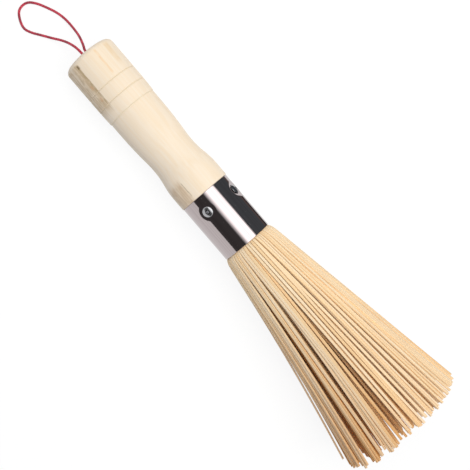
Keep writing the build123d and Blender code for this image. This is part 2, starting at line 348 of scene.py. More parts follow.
def piece(name, points, faces, material, body, nodes, crease=35.0, fields=None):
    """A closed mesh in the frame, facing outwards, that rides on a body and stands for CAD nodes.

    An edge sharper than crease degrees stays sharp. Each field is a value or a vector per point.
    """
    if volume(points, faces) < 0:
        faces = [face[::-1] for face in faces]
    mesh = bpy.data.meshes.new(name)
    mesh.from_pydata(points.tolist(), [], faces)
    for field, values in (fields or {}).items():
        kind, key = ("FLOAT", "value") if values.ndim == 1 else ("FLOAT_VECTOR", "vector")
        attribute = mesh.attributes.new(field, kind, "POINT")
        attribute.data.foreach_set(key, np.ascontiguousarray(values, np.float32).ravel())
    mesh.shade_smooth()
    mesh.set_sharp_from_angle(angle=math.radians(crease))
    mesh.materials.append(material)
    mesh.update()
    if mesh.validate():
        raise RuntimeError(f"{name} has faces that Blender had to mend")
    obj = new_object(name, mesh)
    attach(obj, body)
    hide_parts(*nodes)
    return obj


# Materials


def give(tree, socket, value):
    """Puts a value or a colour into a socket, or links another socket or a node's first output to it."""
    if isinstance(value, bpy.types.Node):
        value = value.outputs[0]
    if isinstance(value, bpy.types.NodeSocket):
        tree.links.new(value, socket)
    else:
        socket.default_value = (*value, 1.0) if socket.type == "RGBA" else value


def add(tree, kind, *inputs, **more):
    """Adds a node. Its inputs come in the order of its sockets. A keyword with a capital names one more
    input, and any other keyword is a setting of the node."""
    node = tree.nodes.new("ShaderNode" + kind)
    sockets = dict(enumerate(inputs))
    for key, value in more.items():
        if key[0].isupper():
            sockets[key] = value
        else:
            setattr(node, key, value)
    for key, value in sockets.items():
        give(tree, node.inputs[key], value)
    return node


def new_material(name):
    """A material that has a Principled shader, and its node tree."""
    material = bpy.data.materials.new(name)
    material.use_nodes = True
    return material, material.node_tree


def finish(material, **inputs):
    """The material, with uniform values set on its Principled shader's own sockets and with what
    varies linked to them."""
    tree = material.node_tree
    for key, value in inputs.items():
        give(tree, tree.nodes["Principled BSDF"].inputs[key.replace("_", " ")], value)
    return material


def brush_place(tree):
    """Object coordinates turned and moved to lie along, to the side and up of the brush."""
    place = add(tree, "TexCoord").outputs["Object"]
    return add(tree, "Mapping", place, mouth.tolist(), (0, -tilt, 0), vector_type="TEXTURE")


def angle_round(tree, place):
    """A place's three parts, and its angle round the axis from straight up."""
    xyz = add(tree, "SeparateXYZ", place).outputs
    return xyz, add(tree, "Math", xyz["Y"], xyz["Z"], operation="ARCTAN2")


def stretched(tree, grain, detail=3.0, place=None, distortion=0.0):
    """Noise whose features are as long and wide as grain says, in millimetres along, aside and up."""
    scale = [1 / (size * MM) for size in grain]
    scaled = add(tree, "Mapping", place or brush_place(tree), Scale=scale)
    return add(tree, "TexNoise", scaled, Scale=1.0, Detail=detail, Distortion=distortion)


def pulse(tree, value, low, high, rise, fall):
    """1 from low to high, easing to 0 over rise before low and over fall after high."""
    into = add(tree, "MapRange", value, low - rise, low, interpolation_type="SMOOTHSTEP")
    out = add(tree, "MapRange", value, high, high + fall, 1.0, 0.0, interpolation_type="SMOOTHSTEP")
    return add(tree, "Math", into, out, operation="MULTIPLY")


def ring_places(sizes):
    """Places of the middles of the scored rings, from the butt face."""
    return sizes.first_ring + np.arange(sizes.ring_count) * sizes.ring_pitch


# Marks in the handle's wood: degrees from straight up as (from, to, ease in, ease out), millimetres
# from the butt face likewise, strength and colour
WOOD_MARKS = {
    "mineral_stain": ((-72, -31, 16, 1.5), (3, 28, 1.5, 7), 0.95, "#D2B995"),
    "stain_edge": ((-34, -31.5, 1.5, 1.5), (5, 27, 2, 3), 0.4, "#A88C62"),
    "stain_streak": ((-49, -46, 2, 2), (4, 17, 2, 4), 0.4, "#A88C62"),
    "knot": ((-33, -30, 2, 2), (3.6, 4.8, 0.9, 0.9), 0.9, "#7A6540"),
    "rust_speck": ((-39, -36, 3, 3), (16.4, 17.6, 1.2, 1.2), 0.45, "#DCA876"),
    "second_rust_speck": ((-40, -37, 3, 3), (24, 25.2, 1.2, 1.2), 0.45, "#DCA876"),
    "resin_streak": ((16.5, 18.5, 2, 2), (3.5, 17, 1.5, 2), 0.6, "#F5CE99"),
    "warm_patch": ((43, 52, 4, 4), (4, 13, 2, 4), 0.45, "#EFCF9C"),
    "collar_patch": ((-66, -28, 14, 3), (87, 97.5, 5, 1), 0.75, "#D0B390"),
    "collar_dash": ((-26.4, -25.1, 0.8, 0.8), (86.5, 93.6, 1.5, 1.2), 0.85, "#968059"),
}
# The marks' edges waver by this angle either way
MARK_WAVER = math.radians(2.5)
# Growth rings of the tree: how far the handle's axis lies aside and up of their middle, their spacing,
# and how far they wander
FROM_PITH = (0, 9 * MM, 21 * MM)
GROWTH_SPACING = 2.4 * MM
GROWTH_WANDER = 3.5 * MM


def turned_wood(sizes):
    """Pale hardwood, turned and sanded, unvarnished: matt, with faint long fibre streaks, growth rings
    that show on the butt, and a mineral stain along one side."""
    material, tree = new_material("turned_pale_wood")
    place = brush_place(tree)
    xyz, angle = angle_round(tree, place)
    fibre = stretched(tree, (30, 1.1, 1.1), 4.0, place)
    cloud = stretched(tree, (50, 7, 7), 2.0, place)
    blotch = stretched(tree, (4, 1.6, 1.6), 3.0, place, distortion=0.6)
    off_pith = add(tree, "VectorMath", place, FROM_PITH, operation="ADD")
    flat = add(tree, "VectorMath", off_pith, (0, 1, 1), operation="MULTIPLY")
    reach = add(tree, "VectorMath", flat, operation="LENGTH").outputs["Value"]
    wander = add(tree, "Math", cloud, GROWTH_WANDER, reach, operation="MULTIPLY_ADD")
    growth = add(tree, "Math", wander, TURN / GROWTH_SPACING, operation="MULTIPLY")
    late = add(tree, "MapRange", add(tree, "Math", growth, operation="SINE"), 0.2, 1.0, 0.0, 0.35)
    streak = add(tree, "MapRange", fibre, 0.35, 0.7)
    warm = add(tree, "Math", streak, late, operation="ADD", use_clamp=True)
    base = add(tree, "MixRGB", warm, sizes.clear_wood, sizes.warm_wood)
    # Each mark wavers at its edges and is mottled inside
    waver = add(tree, "MapRange", blotch, 0.0, 1.0, -MARK_WAVER, MARK_WAVER)
    edge = add(tree, "Math", angle, waver, operation="ADD")
    mottle = add(tree, "Math", fibre, blotch, operation="ADD")
    uneven = add(tree, "MapRange", mottle, 0.8, 1.15, 0.35, 1.0)
    for side, run, strength, hex_colour in WOOD_MARKS.values():
        mark = pulse(tree, edge, *np.radians(side))
        for factor in (pulse(tree, xyz["X"], *(at * MM for at in run)), uneven, strength):
            mark = add(tree, "Math", mark, factor, operation="MULTIPLY")
        base = add(tree, "MixRGB", mark, base, linear(hex_colour))
    # The scored rings are painted a little darker than the skin, as painted shade in the grooves
    floor_half, wall, cover = 0.15 * MM, 0.2 * MM, 0.85
    for groove in ring_places(sizes).tolist():
        cut = pulse(tree, xyz["X"], groove - floor_half, groove + floor_half, wall, wall)
        cut = add(tree, "Math", cut, cover, operation="MULTIPLY")
        base = add(tree, "MixRGB", cut, base, sizes.groove_shade)
    relief = add(tree, "Bump", Strength=0.5, Distance=0.05 * MM, Height=fibre)
    return finish(material, Base_Color=base, Normal=relief, Roughness=0.62, IOR=1.45)


def grained(name, grain, detail, colours, share_at, strength, depth, **uniform):
    """A finish with one noise, whose features are as large as grain in millimetres. It blends two
    colours, from its first to its second value in share_at, and raises the skin by up to depth."""
    material, tree = new_material(name)
    noise = stretched(tree, grain, detail)
    base = add(tree, "MixRGB", add(tree, "MapRange", noise, *share_at), *colours)
    relief = add(tree, "Bump", Strength=strength, Distance=depth * MM, Height=noise)
    return finish(material, Base_Color=base, Normal=relief, **uniform)


def drawn_steel(sizes):
    """Stainless steel tube, drawn and mirror polished: a clear dark and light reflection with a trace
    of long draw lines."""
    tints = (sizes.steel, sizes.drawn)
    lines = (80, 0.35, 0.35)
    return grained(
        "drawn_stainless_steel", lines, 2.0, tints, (0.4, 0.65), 0.25, 0.004, Metallic=1.0, Roughness=0.06
    )


def set_glue():
    """Wood glue, poured and set: yellowish, slightly clear, with a smooth wavy skin."""
    tints = (linear("#D9C48E"), linear("#C4A768"))
    return grained("set_wood_glue", (1.5, 1.5, 1.5), 3.0, tints, (0, 1), 0.3, 0.1, Roughness=0.3)


def whittled_wood():
    """Softwood peg, whittled: tan, with long knife-cut fibres."""
    tints = (linear("#E3C697"), linear("#B98F5A"))
    return grained("whittled_softwood", (15, 0.5, 0.5), 3.0, tints, (0, 1), 0.6, 0.1, Roughness=0.7)


def rivet_metal(sizes):
    """Aluminium rivet, cold headed: bright with a soft reflection and fine scuffs."""
    material, tree = new_material("headed_aluminium")
    rough = add(tree, "MapRange", stretched(tree, (0.5, 0.5, 0.5)), 0.3, 0.7, 0.16, 0.26)
    return finish(material, Base_Color=sizes.aluminium, Metallic=1.0, Roughness=rough)


def pin_metal():
    """Steel rivet pin, snapped off: dull grey and grainy where it broke."""
    material, tree = new_material("snapped_steel_pin")
    grain = stretched(tree, (0.15, 0.15, 0.15))
    relief = add(tree, "Bump", Strength=0.6, Distance=0.03 * MM, Height=grain)
    return finish(material, Base_Color=linear("#8E8E92"), Metallic=1.0, Roughness=0.38, Normal=relief)


def split_bamboo(sizes, ferrule_end):
    """Bamboo, split into strips by hand and dried: matt, straw coloured, each strip its own tone, browner towards
    its tip, with long straight fibres that show faintly. Painted shade darkens the inner rings and the shaded
    side, and painted light makes the bright side paler."""
    material, tree = new_material("split_bamboo")
    own_place = add(tree, "Attribute", attribute_name="fibre").outputs["Vector"]
    # This attribute holds each strip's random tone plus painted shade: darker on inner rings and on the shaded
    # side, paler on the bright side
    tone_and_shade = add(tree, "Attribute", attribute_name="tone_and_shade").outputs["Fac"]
    fibre = stretched(tree, (0.5, 0.5, 30), 1.0, own_place)
    patch = stretched(tree, (2, 2, 40), 1.0, own_place)
    mixed = add(tree, "Math", patch, 0.4, tone_and_shade, operation="MULTIPLY_ADD")
    to_straw = add(tree, "MapRange", mixed, 0.25, 0.75)
    base = add(tree, "MixRGB", to_straw, sizes.cream, sizes.straw)
    # The tips turn brown, each strip in its own measure, which also carries the strips' painted shade; painted
    # shade makes them browner still on the shaded side and less brown on the bright side
    xyz = add(tree, "SeparateXYZ", brush_place(tree)).outputs
    tip = ferrule_end + sizes.reach
    start = tip - sizes.browned * sizes.reach
    browner = add(tree, "MapRange", xyz["X"], start, tip, 0.0, sizes.tip_browning)
    # Painted shade: more browning on the shaded side, less on the bright side
    shade_darkened = add(tree, "MapRange", xyz["Y"], sizes.shade_ramp_side, -sizes.shade_ramp_side, 0.25, 1.3)
    own_measure = add(tree, "MapRange", mixed, 0.3, 1.1, 0.4, 1.35)
    for factor in (shade_darkened, own_measure):
        browner = add(tree, "Math", browner, factor, operation="MULTIPLY")
    to_tan = add(tree, "MapRange", mixed, 0.8, 1.3)
    to_tan = add(tree, "Math", to_tan, browner, operation="ADD", use_clamp=True)
    dark_fibre = add(tree, "MapRange", fibre, 0.5, 0.75, 0.0, 0.3)
    for amount in (to_tan, dark_fibre):
        base = add(tree, "MixRGB", amount, base, sizes.tan)
    relief = add(tree, "Bump", Strength=0.2, Distance=0.03 * MM, Height=fibre)
    return finish(material, Base_Color=base, Normal=relief, Roughness=0.6, IOR=1.45)


def braided_yarn(sizes):
    """Braided polyester cord: crimson, with painted light on the crown of each yarn and painted shade between
    them, and with darker stretches of painted shade along it."""
    material, tree = new_material("braided_polyester")
    # Painted light and shade: the crown of each yarn is coloured bright, and the hollows between yarns dark
    crown = add(tree, "Attribute", attribute_name="crown").outputs["Fac"]
    lit = add(tree, "MapRange", crown, 0.0, 0.8)
    base = add(tree, "MixRGB", lit, sizes.shadow, sizes.crimson)
    # Painted shade: random darker stretches along the cord
    shade_painted = add(tree, "MapRange", stretched(tree, (4, 4, 4), 1.0), 0.4, 0.6, 0.0, 0.7)
    base = add(tree, "MixRGB", shade_painted, base, sizes.stretch_shade)
    hair = stretched(tree, (0.12, 0.12, 0.12))
    relief = add(tree, "Bump", Strength=0.4, Distance=0.03 * MM, Height=hair)
    return finish(
        material, Base_Color=base, Normal=relief, Roughness=0.55, Sheen_Weight=0.25, Sheen_Roughness=0.4
    )


# The handle

# Shares of the way to the waist, or on to the collar, and of the radius changed there
FALL_SHARES = ((0.45, 0.12), (0.72, 0.5))
RISE_SHARES = ((0.39, 0.20), (0.71, 0.74))


def grip_radius(sizes, place):
    """Radius of the handle's skin: level bands, a step after the last ring, then a waist and a collar
    on one eased curve, less a rounded groove for each scored ring."""
    last_ring = ring_places(sizes)[-1]
    grip_start = last_ring + sizes.ring_width / 2
    last_band = sizes.butt_radius - sizes.band_drop
    neck = last_band - sizes.ring_step
    fall, rise = sizes.waist_place - grip_start, sizes.collar_place - sizes.waist_place
    thinner, thicker = neck - sizes.waist_radius, sizes.collar_radius - sizes.waist_radius
    knots = [(grip_start, neck)]
    knots += [(grip_start + a * fall, neck - b * thinner) for a, b in FALL_SHARES]
    knots += [(sizes.waist_place, sizes.waist_radius)]
    knots += [(sizes.waist_place + a * rise, sizes.waist_radius + b * thicker) for a, b in RISE_SHARES]
    knots += [(sizes.collar_place, sizes.collar_radius)]
    curve = eased(*zip(*knots), np.clip(place, grip_start, sizes.collar_place))
    band = np.interp(
        place,
        (last_ring - sizes.ring_pitch, last_ring, grip_start),
        (sizes.butt_radius, last_band, neck),
    )
    radius = np.where(place < grip_start, band, curve)
    # A groove is a bell curve, which has all but faded out at half its width from the middle
    bell = sizes.ring_width / 2.4
    for groove in ring_places(sizes):
        radius = radius - sizes.ring_depth * np.exp(-(((place - groove) / bell) ** 2))
    return radius


def handle_outline(sizes, ferrule):
    """From the bottom of the cord's hole, over the butt and along the grip, to the tenon's end."""
    small, play = 0.3 * MM, 0.1 * MM
    hole = [
        (sizes.hole_depth, 0),
        (sizes.hole_depth, sizes.hole_radius - small),
        (sizes.hole_depth - small, sizes.hole_radius),
        (sizes.hole_flare + small, sizes.hole_radius),
        (sizes.hole_flare, sizes.hole_radius + small / 4),
        (sizes.hole_flare / 4, sizes.hole_radius + 0.75 * sizes.hole_flare),
        (0, sizes.hole_radius + sizes.hole_flare + small / 4),
    ]
    level = sizes.butt_radius - sizes.butt_rounding
    face = [(0, r) for r in np.linspace(sizes.hole_radius + sizes.hole_flare + small, level, 8)[:-1]]
    rounding = arc((sizes.butt_rounding, level), sizes.butt_rounding, 180, 90, 10)
    near_rings = [groove + np.linspace(-1, 1, 17) * sizes.ring_width for groove in ring_places(sizes)]
    places = np.unique(
        np.concatenate([np.linspace(sizes.butt_rounding, sizes.length - small, 70)[1:]] + near_rings)
    )
    skin = np.stack((places, grip_radius(sizes, places)), -1)
    inner = ferrule.radius - ferrule.wall - play
    tenon_end = sizes.length + sizes.tenon_length
    shoulder = [
        (sizes.length, sizes.collar_radius - small / 2),
        (sizes.length, inner),
        (tenon_end - small, inner),
        (tenon_end, inner - small),
        (tenon_end, 0),
    ]
    return np.concatenate((hole, face, rounding, skin, shoulder))


class BRUSH_OT_handle(Operator):
    """Turn the wooden handle: butt, scored rings, waist, collar, tenon and the cord's hole"""

    bl_idname = "palm_brush.handle"
    bl_label = "Turned Handle"

    def execute(self, context):
        sizes, ferrule = context.scene.brush_handle, context.scene.brush_ferrule
        points, faces = spun(handle_outline(sizes, ferrule), 160)
        piece(
            "turned_handle", laid(points), faces, turned_wood(sizes),
            "brush", ["handle"],
        )
        return {"FINISHED"}


# The ferrule and its rivets


def rivet_angles(sizes):
    """Angles of the rivets from straight up, evenly round the ferrule."""
    return sizes.rivet_turn - np.arange(sizes.rivet_count) * TURN / sizes.rivet_count


def smooth(low, high, value):
    """0 below low and 1 above high, eased between them."""
    t = np.clip((value - low) / (high - low), 0, 1)
    return t * t * (3 - 2 * t)


def ferrule_outline(sizes, start):
    """Section of the tube's wall: along the outside, over a rounded rim, back along the bore and over
    the other rim. Its points are close together where the rivets dent it."""
    half = sizes.wall / 2
    middle = sizes.radius - half
    end = start + sizes.length
    rivet = start + sizes.rivet_inset
    near = np.linspace(rivet - 1.1 * sizes.dent_radius, rivet + 1.1 * sizes.dent_radius, 44)
    before, after = np.linspace(start + half, near[0], 5)[:-1], np.linspace(near[-1], end - half, 10)[1:]
    outside = np.concatenate((before, near, after))
    bore = np.linspace(end - half, start + half, 12)
    return np.concatenate(
        (
            np.stack((outside, np.full(len(outside), sizes.radius)), -1),
            arc((end - half, middle), half, 75, -75, 6),
            np.stack((bore, np.full(len(bore), middle - half)), -1),
            arc((start + half, middle), half, 255, 105, 6),
        )
    )


def dents(sizes, off, angle):
    """How deep the rivets' dents are, from 0 to 1, at a distance along from the rivets and an angle.

    A dent is a flat seat that eases out to the tube's own radius.
    """
    dent = np.zeros(np.broadcast(off, angle).shape)
    for turn in rivet_angles(sizes):
        distance = np.hypot(off, sizes.radius * wrapped(angle - turn))
        dent = np.maximum(dent, 1 - smooth(sizes.seat_radius, sizes.dent_radius, distance))
    return dent


class BRUSH_OT_ferrule(Operator):
    """Draw the steel ferrule, pulled in round each rivet"""

    bl_idname = "palm_brush.ferrule"
    bl_label = "Steel Ferrule"

    def execute(self, context):
        sizes, start = context.scene.brush_ferrule, context.scene.brush_handle.length
        outline = ferrule_outline(sizes, start)
        place, radius = outline[:, :1], outline[:, 1:]
        half = sizes.wall / 2
        on_skin = np.clip((radius - sizes.radius + half) / half, 0, 1)
        angle = round_turn(288)
        dent = dents(sizes, place - start - sizes.rivet_inset, angle)
        points = around(place, radius - sizes.seat_depth * dent * on_skin, angle)
        faces = quads(*points.shape[:2], close_rows=True).tolist()
        piece(
            "drawn_ferrule", laid(points.reshape(-1, 3)), faces, drawn_steel(sizes),
            "brush", ["ferrule"],
        )
        return {"FINISHED"}


def at_rivets(sizes, start, points, faces):
    """Copies of a solid spun about its own axis, one at each rivet, pointing out of the ferrule."""
    seat = sizes.radius - sizes.seat_depth
    all_points, all_faces = [], []
    for number, turn in enumerate(rivet_angles(sizes)):
        place = start + sizes.rivet_inset + points[:, 2]
        all_points.append(around(place, seat + points[:, 0], turn, points[:, 1]))
        all_faces += [[corner + number * len(points) for corner in face] for face in faces]
    return np.concatenate(all_points), all_faces


# Between a rivet's pin and its bore
PIN_PLAY = 0.05 * MM


def rivet_outline(sizes):
    """Section of a blind rivet's body: out of the bore, over the head, down the shank and back up.

    The head is a cap of a ball on a low rounded rim, with a funnel at the bore.
    """
    rounding, chamfer = 0.08 * MM, 0.15 * MM
    bore = sizes.mandrel_radius + PIN_PLAY
    top, bottom = sizes.head_height, -sizes.shank_length
    ball = sizes.head_radius / math.sin(sizes.dome_slope)
    cap = ball - sizes.head_radius / math.tan(sizes.dome_slope)
    reach = np.linspace(bore + chamfer, 0.97 * sizes.head_radius, 14)
    dome = np.stack((top - ball + np.sqrt(ball**2 - reach**2), reach), -1)
    funnel = [(top - 2 * chamfer, bore), (top - 0.8 * chamfer, bore)]
    below = [
        ((top - cap) / 2, sizes.head_radius),
        (0, sizes.head_radius - rounding),
        (0, sizes.shank_radius),
        (bottom, sizes.shank_radius),
        (bottom, bore),
    ]
    return np.concatenate((funnel, dome, below))


def pin_outline(sizes):
    """Half section of a rivet's pin, which ends in a bulb below the shank, and broke off uneven inside
    the head."""
    bulb, bulb_height, edge = 1.5 * MM, 0.9 * MM, 0.2 * MM
    pin, top = sizes.mandrel_radius, sizes.head_height
    high = -sizes.shank_length - PIN_PLAY
    low = high - bulb_height
    return [
        (low, 0),
        (low, bulb - edge),
        (low + edge, bulb),
        (high, bulb),
        (high, pin),
        (top - 0.35 * MM, pin),
        (top - 0.2 * MM, 0.85 * pin),
        (top - 0.1 * MM, 0.5 * pin),
        (top - 0.06 * MM, 0),
    ]


class BRUSH_OT_rivets(Operator):
    """Set the blind rivets: domed heads, hollow shanks and the snapped pins inside"""

    bl_idname = "palm_brush.rivets"
    bl_label = "Blind Rivets"

    def execute(self, context):
        sizes, start = context.scene.brush_ferrule, context.scene.brush_handle.length
        outline = rivet_outline(sizes)
        rings = around(outline[:, :1], outline[:, 1:], round_turn(48))
        faces = quads(*rings.shape[:2], close_rows=True).tolist()
        points, faces = at_rivets(sizes, start, rings.reshape(-1, 3), faces)
        piece(
            "rivet_heads", laid(points), faces, rivet_metal(sizes),
            "brush", ["rivet_bodies"],
        )
        points, faces = at_rivets(sizes, start, *spun(pin_outline(sizes), 24))
        piece(
            "rivet_pins", laid(points), faces, pin_metal(),
            "brush", ["rivet_mandrels"],
        )
        return {"FINISHED"}


# The strips

# Where the bundle parts: degrees from straight up, and how wide it opens in millimetres, at the tips
# or half way along
TIP_PARTINGS = (
    (-172, 1.8), (-141, 2.0), (-111, 1.6), (-80, 2.4), (-67, 1.4), (-59, 1.4), (-50, 1.4),
    (-41, 2.4), (-34, 1.4), (-21, 1.4), (-9, 1.4), (-3, 1.0), (3, 1.8), (15, 1.4), (26, 2.0),
    (39, 1.6), (51, 1.2), (75, 1.2), (101, 1.6), (129, 2.0), (157, 1.6),
)
MIDDLE_PARTINGS = ((-28, 3.2),)
# The second ring's strips stay low in an opening this wide in millimetres, where it is this near
WIDE_OPENING = 1.5
OPENING_HALF = math.radians(2.6)
# Slits through all rings at the tips: millimetres to the side, and width, and where their push fades
TIP_SLITS = ((-18.4, 0.8), (-8.0, 1.9), (3.4, 1.2))
SLIT_FADE = 3 * MM
# Strips that stand apart: degrees from straight up, how far out and how much shorter in millimetres
LONE_STRIPS = ((-90, 1.6, 4.5),)
# Places of the rows along a strip, as shares of its reach past the ferrule, and -1 for its head
STATIONS = np.array((-1.0, 0.0, 0.01, 0.025, 0.05, 0.11, 0.22, 0.35, 0.47, 0.6, 0.73, 0.86, 1.0))

# How uneven the strips are: width and thickness as shares of the mean, and then normal draws as their
# spread and the most allowed: stray and curl as shares of the largest stray, and roll in radians
WIDTHS = (0.82, 1.18)
THICKNESSES = (0.85, 1.0)
STRAY = (0.7, 1.5)
CURL = (0.4, 1.0)
ROLL = (0.12, 0.3)


def limited(random, spread, most, count):
    """Normal draws of a spread, with none beyond the most allowed."""
    return random.normal(0, spread, count).clip(-most, most)


def parted(turn, partings, tip_radius, fade):
    """How far partings push a strip round the axis, in radians.

    Each pushes it away by half the opening, times exp(-d / fade) at an angle d from the parting.
    """
    push = np.zeros_like(turn)
    for degrees, opening in partings:
        off = wrapped(turn - math.radians(degrees))
        push += np.copysign(opening * MM / 2 / tip_radius, off) * np.exp(-np.abs(off) / fade)
    return push


def near_parting(turn):
    """The widest opening of a parting near each angle, in millimetres."""
    degrees, openings = np.array(TIP_PARTINGS + MIDDLE_PARTINGS).T
    off = wrapped(turn[:, None] - np.radians(degrees))
    return np.where(np.abs(off) < OPENING_HALF, openings, 0).max(-1)


def packed_sector(sizes, radius, sector, sectors, random):
    """Angles of the joints between strips of uneven widths, side by side in one sector of a ring."""
    in_ring = TURN * (radius - sizes.thickness / 2) / (sizes.width + sizes.gap)
    widths = random.uniform(*WIDTHS, int(in_ring) // sectors)
    filled = np.concatenate(([0], np.cumsum(widths))) / widths.sum()
    return TURN / sectors * (0.5 - sector - filled)


def clumps(joints, random):
    """The clumps of two to four strips in one sector of a ring, as each strip's clump and the angles
    of the joints between clumps, the sector's own ends among them."""
    count = len(joints) - 1
    clump = np.repeat(np.arange(count), random.integers(2, 5, count))[:count]
    first = np.searchsorted(clump, np.arange(clump[-1] + 1))
    return clump, joints[np.append(first, count)]


def gathered(sizes, ring, sector, sectors, joints, outermost, share_out):
    """For each strip of a sector the middle of its clump, how far it settles round the axis, and how
    much of the flare it takes.

    The flare's share is r + k r^3 (1 - r), where r is how far out the ring is packed, from 0 to 1. A
    clump of the second ring instead settles under a joint between two clumps of the outermost ring and
    rises between them, except at a wide opening.
    """
    grouping = np.random.default_rng(1000 + sector)
    turn = (joints[1:] + joints[:-1]) / 2
    count = len(turn)
    if ring != 1:
        clump = clumps(joints, grouping)[0]
        settle = np.zeros(count)
        spread = np.full(count, share_out + sizes.fullness * share_out**3 * (1 - share_out))
    else:
        outer_joints = packed_sector(sizes, outermost, sector, sectors, np.random.default_rng(sector))
        edges = clumps(outer_joints, grouping)[1]
        clump = np.arange(count) * (len(edges) - 1) // count
    middle = (np.bincount(clump, turn) / np.bincount(clump))[clump]
    if ring == 1:
        narrow = near_parting(turn) < WIDE_OPENING
        settle = np.where(narrow, edges[clump + 1] - middle, 0)
        spread = np.where(narrow, sizes.second_high, sizes.second_low)
    return middle, settle, spread


def tip_draws(sizes, random, turn, level, share_out):
    """How far each strip reaches along the axis, and how far its tip sways out of its ring.

    Tips are evener on the bright side, and longer and at more uneven depths on the shaded one. level
    is the reach of an even strip, and share_out is how far out the ring is packed.
    """
    count = len(turn)
    bright, shaded = np.clip(np.sin(turn), 0, None), np.clip(-np.sin(turn), 0, None)
    shorter = sizes.unevenness * (1 - sizes.evenness * bright) * random.uniform(0, 1, count) ** 2
    sway = -sizes.sway * random.uniform(0, 1, count) * (0.3 + 0.7 * share_out) * (1 + 1.5 * shaded)
    return level - shorter + sizes.long_side * shaded, sway


def stand_apart(turn, spacing, reach, sway):
    """Moves the strips that stand apart: the one nearest to each angle, if it is in this sector."""
    for degrees, outwards, shorter in LONE_STRIPS:
        off = np.abs(wrapped(turn - math.radians(degrees)))
        lone = np.argmin(off)
        if off[lone] < spacing:
            sway[lone] = outwards * MM
            reach[lone] -= shorter * MM


def section(width, thickness, cut):
    """Corners of each strip's section, across it and out of it: a rectangle without its two outer
    corners."""
    half, high = width[:, None] / 2, thickness[:, None] / 2
    across = np.concatenate((-half, half, half, half - cut, cut - half, -half), 1)
    rise = np.concatenate((-high, -high, high - cut, high, high, high - cut), 1)
    return across[:, None, :], rise[:, None, :]


def pushed_aside(sizes, tip_side, far):
    """How far the slits between tips and the bundle's warp push a strip to the side, at each station.

    A slit pushes a tip by half its opening, times exp(-d / fade) at a distance d from the slit.
    """
    push = sizes.warp * (0.6 * np.sin(math.pi * far) + 0.5 * far)
    for place, opening in TIP_SLITS:
        off = tip_side - place * MM
        push = push + np.copysign(opening * MM / 2, off) * np.exp(-np.abs(off) / SLIT_FADE) * far**4
    return push


def strip_bundle(sizes, ferrule, ring, sector, sectors):
    """One sector of one ring of strips, as points, faces and fields.

    A strip's centreline is at distance d(x) and angle a(x) about the axis, x past the ferrule. d is
    its packed radius plus the flare, which is a quick bulge over the ferrule's edge, a straight lean
    and a slight bow, and a is its packed angle plus its share of the partings and its clump's pull.
    The section is a rectangle with its two outer corners taken off, rolled a little towards the tip.
    """
    random = np.random.default_rng(100 * ring + sector)
    outermost = ferrule.radius - ferrule.wall - sizes.thickness / 2 - sizes.clearance
    packed = outermost - ring * sizes.ring_spacing
    joints = packed_sector(sizes, packed, sector, sectors, random)
    turn = (joints[1:] + joints[:-1]) / 2
    count = len(turn)
    width = sizes.width * -np.diff(joints) * count * sectors / TURN
    thickness = sizes.thickness * random.uniform(*THICKNESSES, count)
    tip_flare = sizes.lip + sizes.lean * sizes.reach + sizes.bow * sizes.reach**2 / 2
    tip_radius = outermost + tip_flare
    share_out = (packed - sizes.core_radius) / (outermost - sizes.core_radius)
    middle, settle, spread = gathered(sizes, ring, sector, sectors, joints, outermost, share_out)
    level = np.sqrt(sizes.reach**2 - (tip_flare * spread) ** 2)
    reach, sway = tip_draws(sizes, random, turn, level, share_out)
    stray = sizes.stray * limited(random, *STRAY, count)
    curl = sizes.stray * limited(random, *CURL, count)
    roll = limited(random, *ROLL, count)
    if ring == 0:
        stand_apart(turn, TURN / sectors / count, reach, sway)

    x = np.where(STATIONS < 0, -sizes.head_length, STATIONS * reach[:, None])
    out = np.clip(x, 0, None)
    far = out / sizes.reach
    flare = sizes.lip * (1 - np.exp(-out / sizes.lip_length)) + sizes.lean * out + sizes.bow * out**2 / 2
    distance = packed + flare * spread[:, None] + sway[:, None] * far**1.5
    to_tip = parted(turn, TIP_PARTINGS, tip_radius, sizes.parting_fade)
    to_tip *= spread * (sizes.outer_push if ring < 2 else 1)
    to_middle = spread * parted(turn, MIDDLE_PARTINGS, tip_radius, sizes.parting_fade)
    angle = turn[:, None] + to_tip[:, None] * far + to_middle[:, None] * np.sin(math.pi * far) ** 2
    angle += settle[:, None] * (1 - (1 - far) ** 3)
    angle += sizes.gather * (middle - turn)[:, None] * (1 - packed / distance)
    angle += (stray[:, None] * far**1.5 + curl[:, None] * np.sin(math.pi * far)) / distance
    across, rise = section(width, thickness, sizes.bevel)
    rolled = (roll[:, None] * far)[..., None]
    side = across * np.cos(rolled) - rise * np.sin(rolled)
    out_by = across * np.sin(rolled) + rise * np.cos(rolled)
    points = around(x[..., None], distance[..., None] + out_by, angle[..., None], side)
    tip_side = distance[:, -1:] * np.sin(angle[:, -1:])
    points[..., 1] += pushed_aside(sizes, tip_side, far)[..., None]
    rows, columns = points.shape[1:3]
    placed = laid(points)
    # The table bends up any strip that would reach below it
    sunk = np.clip(sizes.table_gap - placed[..., 2].min(-1), 0, None)
    placed[..., 2] += sunk[..., None]
    one = quads(rows, columns).tolist() + ends(rows, columns)
    step = rows * columns
    faces = [[corner + number * step for corner in face] for number in range(count) for face in one]
    # The fibres' places are a strip's own, each strip from another part of the culm
    offset = random.uniform(0, 1, (count, 3))[:, None, None, :]
    fibre = np.stack(np.broadcast_arrays(across, rise, x[..., None]), -1) + offset
    # Each strip's own random tone, plus painted shade: darker for inner rings and on the shaded side, paler on the
    # bright side
    tone_and_shade = random.beta(1.6, 2.4, count) + sizes.inner_ring_shade * ring - sizes.side_shading * np.sin(turn)
    fields = {"fibre": fibre.reshape(-1, 3), "tone_and_shade": np.repeat(tone_and_shade, step)}
    return placed.reshape(-1, 3), faces, fields


def strip_rings():
    """Names of the frame's strip nodes, ring by ring from the outermost."""
    rings = {}
    for name in sorted(frame["nodes"]):
        if name.startswith("strip_ring_"):
            rings.setdefault(int(name.split("_")[2]), []).append(name)
    return [rings[number] for number in sorted(rings)]


